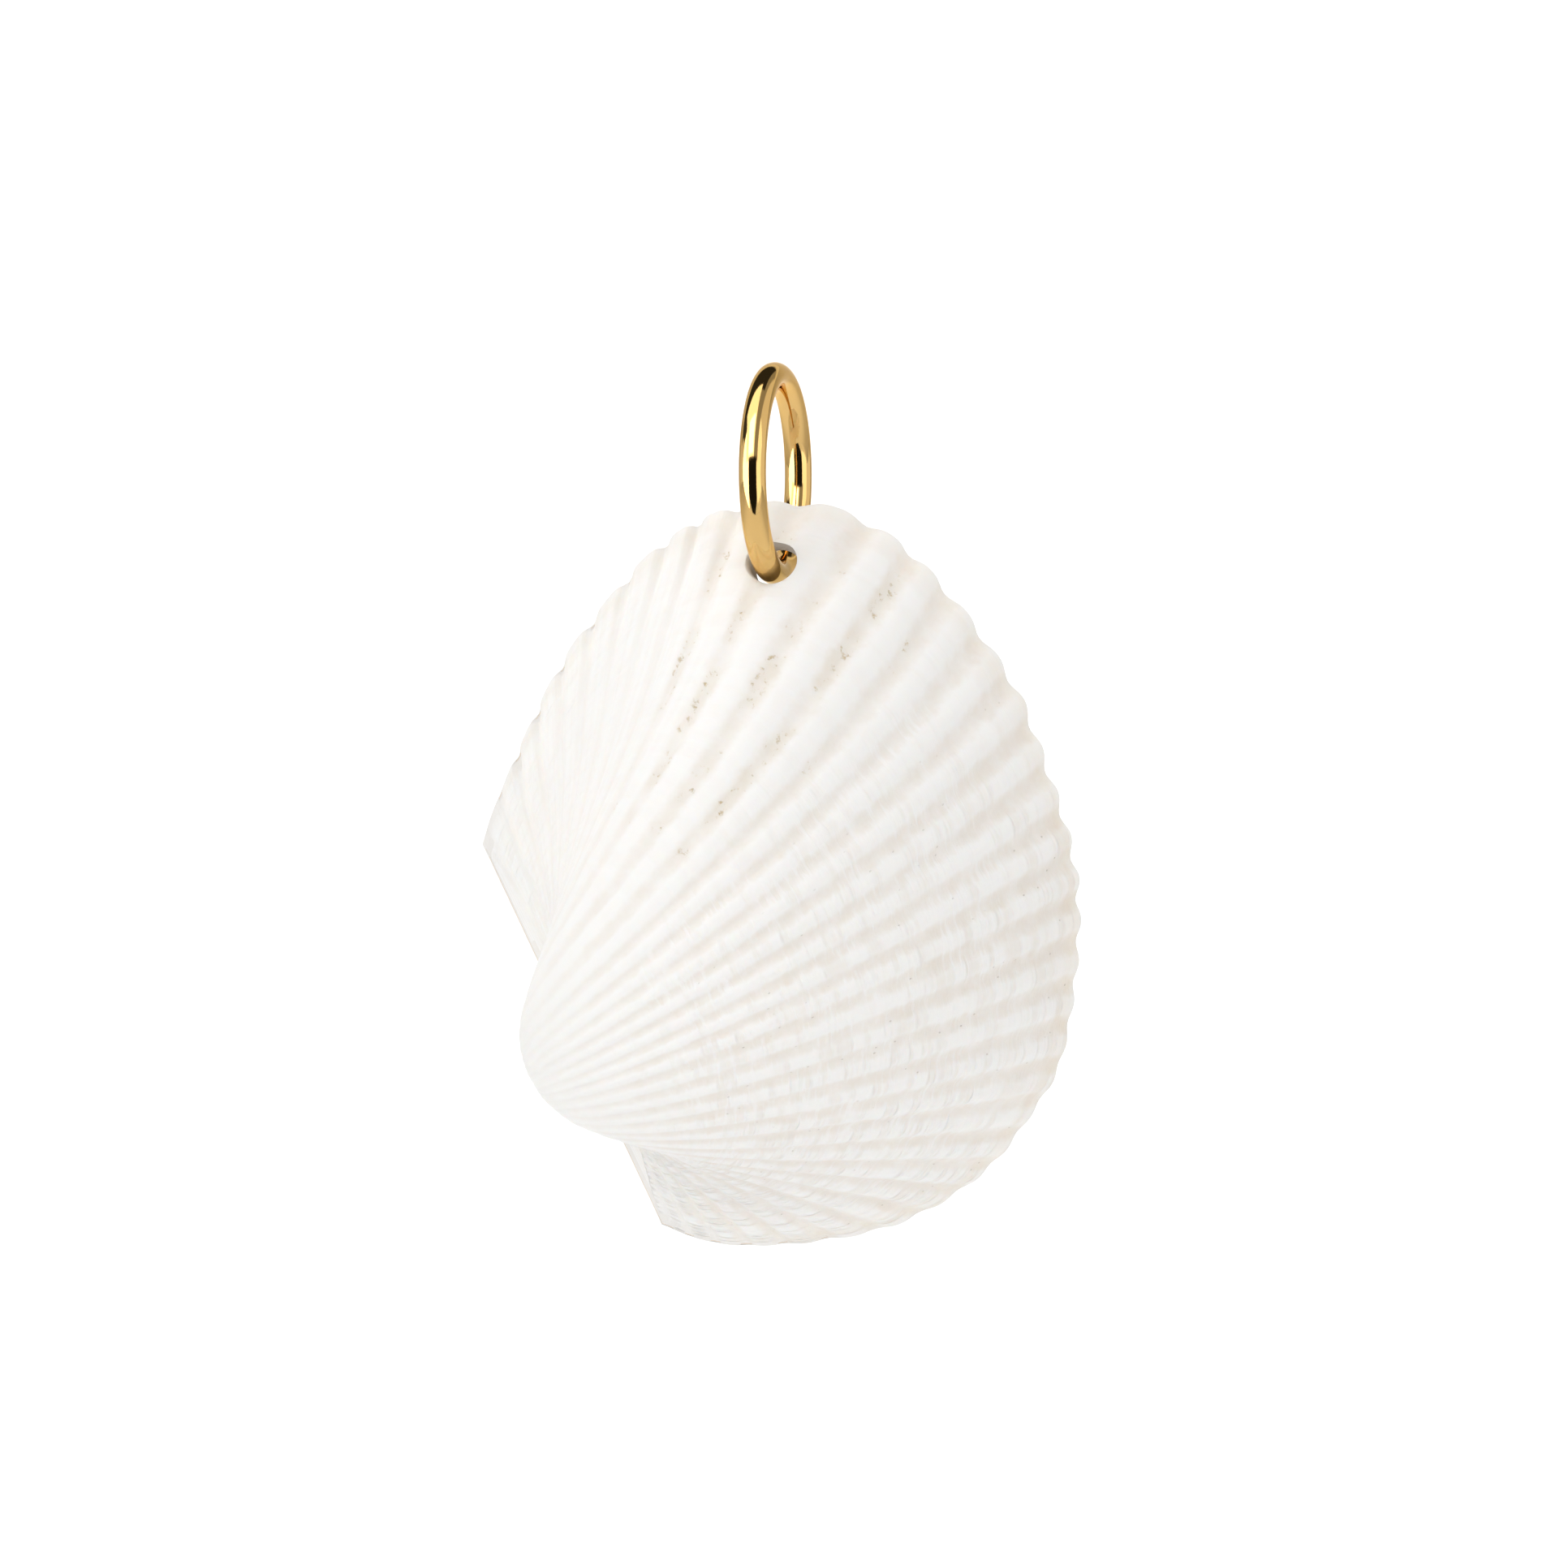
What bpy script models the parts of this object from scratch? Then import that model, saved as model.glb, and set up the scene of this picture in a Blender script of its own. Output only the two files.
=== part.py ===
"""Ark shell pendant: one valve of an ark shell, drilled near its edge, on a round-wire jump ring.

Metres, +Z up. The origin is the top of the jump ring's inside, where a chain passes. The ring
stands in the YZ plane. The valve hangs from it with its ribbed outside facing -Y.

The valve is modelled as it grew. Its edge is one closed outline, and every earlier edge is the
same outline, smaller and turned about a line that runs along the hinge. Together they make the
swollen outside with its rolled-over beak, and the ribs run across them. In the valve's own
frame x runs along the hinge, y from the hinge to the free edge, and z out of the swollen side.
"""

import math

import bmesh
import bpy
import numpy as np
from mathutils import Matrix, Vector

MM = 0.001

# Jump ring, in mm
RING_OUTER = 9.8
WIRE = 1.2
RING_STEPS = 48
WIRE_STEPS = 12

# Edge of the valve, in mm, from the front end of the hinge line round to its back end
EDGE = [
    (-10.9, -0.45), (-12.55, 1.15), (-16.25, 5.55), (-18.1, 8.7), (-19.5, 12.1), (-19.75, 15.55),
    (-18.35, 19.2), (-15.7, 21.55), (-12.45, 22.8), (-8.55, 23.6), (-5.1, 23.7), (2.0, 22.55),
    (8.3, 19.05), (10.75, 16.05), (12.2, 12.85), (12.55, 8.95), (11.75, 5.4), (10.3, 2.05),
    (7.75, -0.8),
]

# How the valve grew
GROWTH = 0.764         # natural log of the size lost for each radian turned
BEAK_SIZE = 0.065      # first edge that is modelled, as a share of the full one
BEAK_HEIGHT = 0.8      # height of the coiling line over the plane of the edge, mm
BEAK_SWING = -0.079    # lean of the swollen part along the hinge, for each mm of height
BEAK_SHIFT = -0.12     # how far the beak moved out past the hinge line, mm
GROWTH_STEPS = 19

# Ribs: width of one rib and its groove, as a share of the edge's length, along the edge
RIB_PLACES = [0.0, 0.10, 0.18, 0.24, 0.31, 0.45, 0.60, 0.78, 0.88, 1.0]
RIB_WIDTHS = [0.0205, 0.0308, 0.0320, 0.0244, 0.0411, 0.0319, 0.0255, 0.0244, 0.0301, 0.0118]
RIB_OFFSET = 0.32      # place of the first groove within its rib
RIB_HEIGHT = 0.36      # from groove to crest at the free edge, mm
RIB_CREST = 0.4        # the part of it that stands over the mean surface
RIB_SHARPNESS = 3      # the higher, the narrower the grooves between flatter ribs
RIB_STRENGTH = [
    (0.0, 0.0), (0.03, 0.3), (0.16, 0.4), (0.28, 0.85), (0.80, 0.85), (0.97, 0.5), (1.0, 0.0),
]
RIB_SIDES = 4
RIB_DRIFT = [0.0, -0.03, 0.0, -0.015, 0.05, 0.0]

# Near the free edge the ribs take these strengths, and bend this far along it, in ribs
EDGE_BAND = 0.85       # share of the full size where that starts
EDGE_STRENGTH = [
    (0.0, 0.0), (0.03, 0.1), (0.05, 1.0), (0.10, 0.85), (0.24, 1.1), (0.28, 1.0), (0.45, 0.9),
    (0.60, 0.9), (0.70, 0.45), (0.85, 0.55), (0.93, 0.4), (1.0, 0.0),
]
EDGE_BEND = [
    (0.0, 0.0), (0.06, 0.15), (0.16, 0.2), (0.21, 0.3), (0.25, 0.1), (0.34, 0.28), (0.40, 0.0),
    (1.0, 0.0),
]

# Hollow
WALL = 1.3
HINGE_PLATE = 2.0      # width of the hinge plate under the beak, mm
HINGE_PLATE_ENDS = 1.0 # how much wider it is at the ends of the hinge line, mm
HINGE_PLATE_DEPTH = 1.6
HINGE_GUIDE = (-15.0, 13.0)  # reach of the plate's guide along the hinge
HINGE_GUIDE_POINTS = 9
HINGE_GUIDE_OUT = 6.0  # how far the guide stands out past the hinge line and the edge's plane
HOLLOW_GROWTH = (1.12, 0.36)
HOLLOW_STEPS = 13
HOLLOW_SIDES = 56
HOLLOW_ENDS = (0.03, 0.97)

# Drilled hole
HOLE = 2.14
HOLE_SIDES = 24
DRILL_LENGTH = 6.0
HOLE_AT = 0.2945
HOLE_GROWTH = 0.904
HOLE_TILT = 19.0       # rise of the hole towards the outside, degrees
HOLE_CENTRE = (0.13, -1.30, -7.60)

# How the valve hangs, in degrees
FACE_TURN = 16.1
FACE_LEAN = 10.7
HINGE_ANGLE = -64.5

CREASE = 40.0          # shading breaks at edges sharper than this, degrees


def remove_everything():
    for thing in list(bpy.data.objects):
        bpy.data.objects.remove(thing, do_unlink=True)


def smooth_curve(points, count):
    """A Catmull-Rom curve through the points, as count places evenly spaced along its length."""
    p = np.array([points[0], *points, points[-1]], dtype=float)
    p[0] = 2 * p[1] - p[2]
    p[-1] = 2 * p[-2] - p[-3]
    t = np.linspace(0.0, 1.0, 40, endpoint=False)[:, None]
    runs = []
    for a, b, c, d in zip(p, p[1:], p[2:], p[3:]):
        bend = (2 * a - 5 * b + 4 * c - d) * t**2 + (3 * b - 3 * c + d - a) * t**3
        runs.append(b + 0.5 * ((c - a) * t + bend))
    runs.append(p[-2][None])
    fine = np.concatenate(runs)
    length = np.concatenate([[0.0], np.cumsum(np.linalg.norm(np.diff(fine, axis=0), axis=1))])
    at = np.linspace(0.0, length[-1], count)
    return np.stack([np.interp(at, length, fine[:, i]) for i in (0, 1)], axis=1)


EDGE_FINE = smooth_curve(EDGE, 2001)
EDGE_SHARE = np.linspace(0.0, 1.0, len(EDGE_FINE))


def rib_count(s):
    """How many ribs lie between the front end of the hinge line and share s of the edge."""
    per_share = 1.0 / np.interp(EDGE_SHARE, RIB_PLACES, RIB_WIDTHS)
    middle = 0.5 * (per_share[1:] + per_share[:-1])
    total = np.concatenate([[0.0], np.cumsum(middle * np.diff(EDGE_SHARE))])
    return np.interp(s, EDGE_SHARE, total)


def on_edge(s, pairs):
    """The value at share s of the edge, between the listed ones."""
    return np.interp(s, *zip(*pairs))


def rib_relief(s, q):
    """Height over the mean surface, as a share of the ribs' full height, at size q."""
    near = max(0.0, (q - EDGE_BAND) / (1.0 - EDGE_BAND))
    place = rib_count(s) - RIB_OFFSET - near * on_edge(s, EDGE_BEND)
    groove = np.abs(np.cos(math.pi * place)) ** RIB_SHARPNESS
    strength = (1.0 - near) * on_edge(s, RIB_STRENGTH) + near * on_edge(s, EDGE_STRENGTH)
    return (RIB_CREST - groove) * strength


def grown(s, q):
    """Where share s of the edge lay when the valve was q of its full size, in mm."""
    drift = np.interp(s, np.linspace(0.0, 1.0, len(RIB_DRIFT)), RIB_DRIFT)
    was = s + drift * (1.0 - q)
    a = np.interp(was, EDGE_SHARE, EDGE_FINE[:, 0])
    b = np.interp(was, EDGE_SHARE, EDGE_FINE[:, 1])
    turn = -np.log(q) / GROWTH
    z = BEAK_HEIGHT + q * (b * np.sin(turn) - BEAK_HEIGHT * np.cos(turn))
    y = q * (b * np.cos(turn) + BEAK_HEIGHT * np.sin(turn)) + BEAK_SHIFT * (1.0 - q)
    x = a * q + BEAK_SWING * z
    return np.stack([x, y, z], axis=-1)


def outward(s, q):
    """Unit normals of the smooth outside, away from the hollow."""
    step = 1e-3
    low, high = np.clip(s - step, 0.0, 1.0), np.clip(s + step, 0.0, 1.0)
    along = grown(high, q) - grown(low, q)
    across = grown(s, q * (1 + step)) - grown(s, q * (1 - step))
    normal = np.cross(along, across)
    return normal / np.linalg.norm(normal, axis=-1, keepdims=True)


def body_of_loops(name, loops):
    """A closed mesh through equal loops of places, in mm, from the largest loop to the smallest."""
    mesh = bpy.data.meshes.new(name)
    bm = bmesh.new()
    rings = [[bm.verts.new(Vector(place) * MM) for place in loop] for loop in loops]
    for outer, inner in zip(rings, rings[1:]):
        for i in range(len(outer)):
            j = (i + 1) % len(outer)
            bm.faces.new((outer[i], outer[j], inner[j], inner[i]))
    bm.faces.new(reversed(rings[0]))
    bm.faces.new(rings[-1])
    bmesh.ops.recalc_face_normals(bm, faces=bm.faces)
    bm.to_mesh(mesh)
    bm.free()
    thing = bpy.data.objects.new(name, mesh)
    bpy.context.collection.objects.link(thing)
    return thing


def make_cutter(thing):
    thing.hide_render = True
    thing.display_type = "WIRE"
    return thing


def cut(thing, cutter):
    boolean = thing.modifiers.new(f"less {cutter.name}", "BOOLEAN")
    boolean.operation = "DIFFERENCE"
    boolean.solver = "EXACT"
    boolean.object = cutter


def paint(thing, name, colour, roughness, metallic=0.0):
    material = bpy.data.materials.new(name)
    material.use_nodes = True
    shader = material.node_tree.nodes["Principled BSDF"]
    shader.inputs["Base Color"].default_value = (*colour, 1.0)
    shader.inputs["Roughness"].default_value = roughness
    shader.inputs["Metallic"].default_value = metallic
    thing.data.materials.append(material)


def outside():
    """The whole valve with no hollow: its ribbed outside, the area between beak and hinge, and
    the flat plane of its edge."""
    counts = np.arange(RIB_OFFSET % (1.0 / RIB_SIDES), rib_count(1.0), 1.0 / RIB_SIDES)
    shares = np.interp(counts, rib_count(EDGE_SHARE), EDGE_SHARE)
    shares = np.concatenate([[0.0], shares, [1.0]])
    loops = []
    for q in np.geomspace(1.0, BEAK_SIZE, GROWTH_STEPS + 1):
        depth = RIB_HEIGHT * q * rib_relief(shares, q)
        loop = grown(shares, q) + depth[:, None] * outward(shares, q)
        if q == 1.0:
            loop[:, 2] = 0.0
        loops.append(loop)
    return body_of_loops("shell", loops)


def hinge_plate_guide():
    """The space that the hinge plate keeps from the hollow."""
    across = np.linspace(*HINGE_GUIDE, HINGE_GUIDE_POINTS)
    front = HINGE_PLATE + HINGE_PLATE_ENDS * (across / across[-1]) ** 2
    inner = [(x, y) for x, y in zip(across, front)]
    outline = [(across[0], -HINGE_GUIDE_OUT), *inner, (across[-1], -HINGE_GUIDE_OUT)]
    loops = [[(x, y, z) for x, y in outline] for z in (-HINGE_GUIDE_OUT, HINGE_PLATE_DEPTH)]
    return make_cutter(body_of_loops("hinge_plate_guide", loops))


def hollow_cutter():
    """The inside of the valve: the smooth outside moved in by the thickness of the wall."""
    shares = np.linspace(*HOLLOW_ENDS, HOLLOW_SIDES)
    loops = []
    for q in np.geomspace(*HOLLOW_GROWTH, HOLLOW_STEPS + 1):
        loops.append(grown(shares, q) - WALL * outward(shares, q))
    cutter = make_cutter(body_of_loops("hollow_cutter", loops))
    cut(cutter, hinge_plate_guide())
    return cutter


def hanging():
    """How the valve's own frame is turned when it hangs, and where it then lies."""
    face = Matrix.Rotation(math.radians(FACE_TURN), 4, "Z")
    lean = Matrix.Rotation(math.radians(90.0 + FACE_LEAN), 4, "X")
    hinge = Matrix.Rotation(math.radians(HINGE_ANGLE), 4, "Z")
    turned = face @ lean @ hinge
    hole = grown(np.array([HOLE_AT]), np.array([HOLE_GROWTH]))[0]
    move = Vector(HOLE_CENTRE) * MM - turned @ (Vector(hole) * MM)
    return Matrix.Translation(move) @ turned


def drill():
    """The hole's cutter, already where the valve hangs."""
    mesh = bpy.data.meshes.new("drill")
    bm = bmesh.new()
    radius = 0.5 * HOLE * MM
    bmesh.ops.create_cone(bm, cap_ends=True, segments=HOLE_SIDES, radius1=radius, radius2=radius,
                          depth=DRILL_LENGTH * MM)
    bm.to_mesh(mesh)
    bm.free()
    thing = bpy.data.objects.new("drill", mesh)
    bpy.context.collection.objects.link(thing)
    tilt = Matrix.Rotation(math.radians(90.0 - HOLE_TILT), 4, "X")
    thing.matrix_world = Matrix.Translation(Vector(HOLE_CENTRE) * MM) @ tilt
    return make_cutter(thing)


def make_shell():
    shell = outside()
    cutter = hollow_cutter()
    place = hanging()
    for thing in (shell, cutter, bpy.data.objects["hinge_plate_guide"]):
        thing.matrix_world = place
    cut(shell, cutter)
    cut(shell, drill())
    shell.data.shade_smooth()
    shell.data.set_sharp_from_angle(angle=math.radians(CREASE))
    paint(shell, "worn white shell", (0.86, 0.83, 0.79), 0.55)
    return shell


def make_jump_ring():
    bpy.ops.mesh.primitive_torus_add(
        major_radius=0.5 * (RING_OUTER - WIRE) * MM, minor_radius=0.5 * WIRE * MM,
        major_segments=RING_STEPS, minor_segments=WIRE_STEPS,
        location=(0.0, 0.0, (WIRE - 0.5 * RING_OUTER) * MM), rotation=(0.0, math.radians(90.0), 0.0))
    ring = bpy.context.object
    ring.name = "jump_ring"
    ring.data.name = "jump_ring"
    ring.data.shade_smooth()
    paint(ring, "polished gold", (0.83, 0.60, 0.25), 0.12, metallic=1.0)
    return ring


remove_everything()
make_shell()
make_jump_ring()
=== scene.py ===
"""Ark shell pendant: one worn white ark shell valve on a polished gold jump ring.

The file is laid out as a Blender add-on and run as a script. A panel in the 3D view's sidebar
holds the sizes and colours, and one operator makes each piece. Lengths are in metres.

The valve is grown by rule in Geometry Nodes. Its edge is one outline, and every earlier edge is
the same outline, smaller and turned about a line that runs along the hinge. In the valve's own
frame x runs along the hinge, y from the hinge to the free edge, and z out of the swollen side.
A last matrix hangs it from the ring.
"""

import math

import bmesh
import bpy
import numpy as np
from bpy.props import FloatProperty, FloatVectorProperty, PointerProperty
from mathutils import Matrix, Vector


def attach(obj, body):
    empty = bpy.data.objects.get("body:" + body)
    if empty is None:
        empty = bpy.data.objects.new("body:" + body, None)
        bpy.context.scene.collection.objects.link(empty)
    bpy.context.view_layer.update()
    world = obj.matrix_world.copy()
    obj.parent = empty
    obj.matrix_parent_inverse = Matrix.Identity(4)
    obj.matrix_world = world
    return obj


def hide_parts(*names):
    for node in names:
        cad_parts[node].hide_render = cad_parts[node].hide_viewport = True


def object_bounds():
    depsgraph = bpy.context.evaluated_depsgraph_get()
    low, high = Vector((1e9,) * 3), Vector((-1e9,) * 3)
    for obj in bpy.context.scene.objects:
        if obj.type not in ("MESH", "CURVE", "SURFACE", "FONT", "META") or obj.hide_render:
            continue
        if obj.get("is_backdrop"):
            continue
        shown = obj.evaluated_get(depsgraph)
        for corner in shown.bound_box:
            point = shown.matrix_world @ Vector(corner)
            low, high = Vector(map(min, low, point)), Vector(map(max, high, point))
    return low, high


bl_info = {
    "name": "Ark Shell Pendant",
    "version": (1, 0, 0),
    "blender": (4, 5, 0),
    "location": "3D View > Sidebar > Pendant",
    "description": "Grows an ark shell valve and hangs it from a gold jump ring",
    "category": "Add Mesh",
}

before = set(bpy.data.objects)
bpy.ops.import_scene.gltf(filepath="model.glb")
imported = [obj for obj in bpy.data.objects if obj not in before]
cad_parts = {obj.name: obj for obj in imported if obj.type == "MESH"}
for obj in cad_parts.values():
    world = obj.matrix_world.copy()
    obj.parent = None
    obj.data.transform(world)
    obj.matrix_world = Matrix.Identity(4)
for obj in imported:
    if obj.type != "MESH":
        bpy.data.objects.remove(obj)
CAD_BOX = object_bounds()

MM = 0.001

# Edge of the valve, in mm, from the front end of the hinge line round to its back end
EDGE = [
    (-10.9, -0.45), (-12.55, 1.15), (-16.25, 5.55), (-18.1, 8.7), (-19.5, 12.1), (-19.75, 15.55),
    (-18.35, 19.2), (-15.7, 21.55), (-12.45, 22.8), (-8.55, 23.6), (-5.1, 23.7), (2.0, 22.55),
    (8.3, 19.05), (10.75, 16.05), (12.2, 12.85), (12.55, 8.95), (11.75, 5.4), (10.5, 2.3),
    (9.35, 0.6), (8.05, -0.6),
]
EDGE_POINTS = 2001

# Ribs: width of one rib and its groove, as a share of the edge's length, along the edge
RIB_PLACES = [0.0, 0.100, 0.181, 0.241, 0.311, 0.452, 0.603, 0.783, 0.884, 1.0]
RIB_WIDTHS = [0.0206, 0.0309, 0.0321, 0.0245, 0.0413, 0.0320, 0.0256, 0.0245, 0.0302, 0.0119]
RIB_OFFSET = 0.32      # place of the first groove within its rib
RIB_STRENGTH = [
    (0.0, 0.0), (0.015, 0.5), (0.10, 0.50), (0.25, 0.50), (0.33, 0.80), (0.78, 0.80), (0.97, 0.5),
    (1.0, 0.0),
]
RIB_DRIFT = [0.0, -0.03, 0.0, -0.015, 0.05, 0.0]

# Near the free edge the ribs take these strengths, and bend this far along it, in ribs
EDGE_BAND = 0.85       # size of the valve where that starts
EDGE_STRENGTH = [
    (0.0, 0.0), (0.03, 0.1), (0.05, 1.0), (0.10, 0.85), (0.24, 1.1), (0.28, 1.0), (0.45, 0.9),
    (0.60, 0.9), (0.70, 0.45), (0.85, 0.55), (0.93, 0.4), (1.0, 0.0),
]
EDGE_BEND = [
    (0.0, 0.0), (0.06, 0.15), (0.16, 0.2), (0.21, 0.3), (0.25, 0.1), (0.34, 0.28), (0.40, 0.0),
    (1.0, 0.0),
]
RIB_FLATNESS = [(0.0, 1.0), (0.2, 1.0), (0.34, 0.35), (0.5, 0.0), (0.85, 0.0), (1.0, 0.5)]
RIBS_IN_UV = 40.0      # the rib map holds a rib's number divided by this
BEAD_STEP = 7.3        # keeps the noise of one rib's beads apart from the next rib's

# How the valve hangs, in degrees, and the drilled hole that it hangs by, in mm. The drill goes in
# a hair to one side of the place that hangs under the ring.
FACE_TURN = 16.1
FACE_LEAN = 10.7
HINGE_ANGLE = -64.5
HOLE_SHARE = 0.2958    # share of the edge's length that the hole lies on
HOLE_SIZE = 0.904      # size of the valve when its edge was there
HOLE_TILT = 19.0
HOLE_CENTRE = (0.13, -1.30, -7.60)
DRILL_CENTRE = (0.18, -1.30, -7.53)
DRILL_SIDES = 96
DRILL_PROFILE = [      # height and flare past the hole's radius, in mm
    (-3.0, 1.0), (-2.2, 0.32), (-1.75, 0.06), (-1.5, -0.05), (-1.2, -0.08), (-0.25, -0.02),
    (-0.1, 0.0), (0.0, 0.02), (0.15, 0.07), (0.35, 0.16), (1.0, 0.8),
]

# Grid of the valve
PLAIN_GRID = (260, 200)
ROW_SPREAD = 1.55      # rows lie closer together towards the free edge
HAIR = 1e-5            # a share of the grid too small to hold a row or a column

# Inside of the valve, in metres
PLATE_FLARE = 0.001    # how much wider the hinge plate is at PLATE_REACH from its middle
PLATE_REACH = 0.013
PLATE_ENDS = (-0.0098, 0.0072)
ROOF_BLEND = 0.0008    # softness of the corner between the hollow's roof and its vault
FLOOR_BLEND = 0.0005
RIM_RIDGE = 0.00017    # height of the small ridges inside the rim

# Muscle scars inside, in mm in the valve's own frame: place, half width and half height
MUSCLE_SCARS = [(-13.2, 9.8, 2.3, 3.2), (8.2, 7.8, 1.9, 2.7)]

# Part of the wire that lies in the hole, darkened as painted shade, in mm: its y and z, and how
# far the dark gold reaches
HOLE_SHADE = (-0.75, -8.0)
HOLE_SHADE_REACH = (0.9, 1.5)

# Camera, in mm and degrees
CAMERA_AIM = (0.363, 0.087, -17.312)
CAMERA_TURN = 13.5
CAMERA_DISTANCE = 600.0
VIEW_WIDTH = 68.754
SENSOR = 36.0

# Backdrop, in metres: its heights, and its distances behind the camera's aim
FLOOR = -0.14
FLOOR_FRONT = -0.15
WALL = 1.1
WALL_TOP = 0.62
BEND = 0.35
BEND_STEPS = 24
HALF_WIDTH = 1.6

# Soft lights as the camera sees them, in metres: place about its aim, size, and how far behind
# the aim each points
LIGHTS = {
    "front": ((-0.10, -0.72, -0.05), (0.50, 0.50), 0.0),
    "left": ((-0.50, -0.45, 0.22), (0.40, 0.40), 0.0),
    "low": ((0.10, -0.50, -0.40), (0.50, 0.50), 0.0),
    "right": ((0.50, -0.45, 0.05), (0.50, 0.50), 0.0),
    "wall": ((0.0, 0.30, 0.75), (1.2, 0.30), 0.9),
}


# Numbers that need no nodes

def smooth_curve(points, count):
    """A Catmull-Rom curve through the points, as count places evenly spaced along its length."""
    p = np.array([points[0], *points, points[-1]], dtype=float)
    p[0] = 2 * p[1] - p[2]
    p[-1] = 2 * p[-2] - p[-3]
    t = np.linspace(0.0, 1.0, 40, endpoint=False)[:, None]
    runs = []
    for a, b, c, d in zip(p, p[1:], p[2:], p[3:]):
        bend = (2 * a - 5 * b + 4 * c - d) * t**2 + (3 * b - 3 * c + d - a) * t**3
        runs.append(b + 0.5 * ((c - a) * t + bend))
    runs.append(p[-2][None])
    fine = np.concatenate(runs)
    length = np.concatenate([[0.0], np.cumsum(np.linalg.norm(np.diff(fine, axis=0), axis=1))])
    at = np.linspace(0.0, length[-1], count)
    return np.stack([np.interp(at, length, fine[:, i]) for i in (0, 1)], axis=1)


def edge_numbers():
    """The edge's outline in metres, and the numbers that ride on it, by share of its length."""
    share = np.linspace(0.0, 1.0, EDGE_POINTS)
    per_share = 1.0 / np.interp(share, RIB_PLACES, RIB_WIDTHS)
    middle = 0.5 * (per_share[1:] + per_share[:-1])
    count = np.concatenate([[0.0], np.cumsum(middle * np.diff(share))])
    numbers = {
        "rib_number": count - RIB_OFFSET,
        "column_share": np.interp(share * count[-1], count, share),
        "rib_strength": np.interp(share, *zip(*RIB_STRENGTH)),
        "rib_flatness": np.interp(share, *zip(*RIB_FLATNESS)),
        "edge_strength": np.interp(share, *zip(*EDGE_STRENGTH)),
        "edge_bend": np.interp(share, *zip(*EDGE_BEND)),
        "rib_drift": np.interp(share, np.linspace(0.0, 1.0, len(RIB_DRIFT)), RIB_DRIFT),
    }
    return smooth_curve(EDGE, EDGE_POINTS) * MM, numbers


def hanging(valve):
    """How the valve's own frame is turned when it hangs, and where it then lies."""
    face = Matrix.Rotation(math.radians(FACE_TURN), 4, "Z")
    lean = Matrix.Rotation(math.radians(90.0 + FACE_LEAN), 4, "X")
    hinge = Matrix.Rotation(math.radians(HINGE_ANGLE), 4, "Z")
    turned = face @ lean @ hinge
    outline, numbers = edge_numbers()
    share = np.linspace(0.0, 1.0, EDGE_POINTS)
    was = HOLE_SHARE + np.interp(HOLE_SHARE, share, numbers["rib_drift"]) * (1.0 - HOLE_SIZE)
    a, b = (np.interp(was, share, outline[:, i]) for i in (0, 1))
    turn = -math.log(HOLE_SIZE) / valve.growth
    rise = b * math.sin(turn) - valve.coil_height * math.cos(turn)
    reach = b * math.cos(turn) + valve.coil_height * math.sin(turn)
    z = valve.coil_height + HOLE_SIZE * rise
    y = HOLE_SIZE * reach + valve.beak_shift * (1.0 - HOLE_SIZE)
    x = a * HOLE_SIZE + valve.lean * z
    move = Vector(HOLE_CENTRE) * MM - turned @ Vector((x, y, z))
    return Matrix.Translation(move) @ turned


# Nodes written as Python

def forward(operation):
    """A method that adds a Math node with the Amount first."""
    return lambda self, other: self.maker.math(operation, self, other)


def reflected(operation):
    """A method that adds a Math node with the Amount second, as in 1 - mask."""
    return lambda self, other: self.maker.math(operation, other, self)


class Amount:
    """A number in a node tree. Python's operators on it add Math nodes."""

    __add__, __radd__ = forward("ADD"), reflected("ADD")
    __sub__, __rsub__ = forward("SUBTRACT"), reflected("SUBTRACT")
    __mul__, __rmul__ = forward("MULTIPLY"), reflected("MULTIPLY")
    __truediv__, __rtruediv__ = forward("DIVIDE"), reflected("DIVIDE")
    __pow__ = forward("POWER")
    __gt__ = forward("GREATER_THAN")
    __lt__ = forward("LESS_THAN")

    def __init__(self, maker, socket):
        self.maker = maker
        self.socket = socket

    def __neg__(self):
        return self * -1.0


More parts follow.
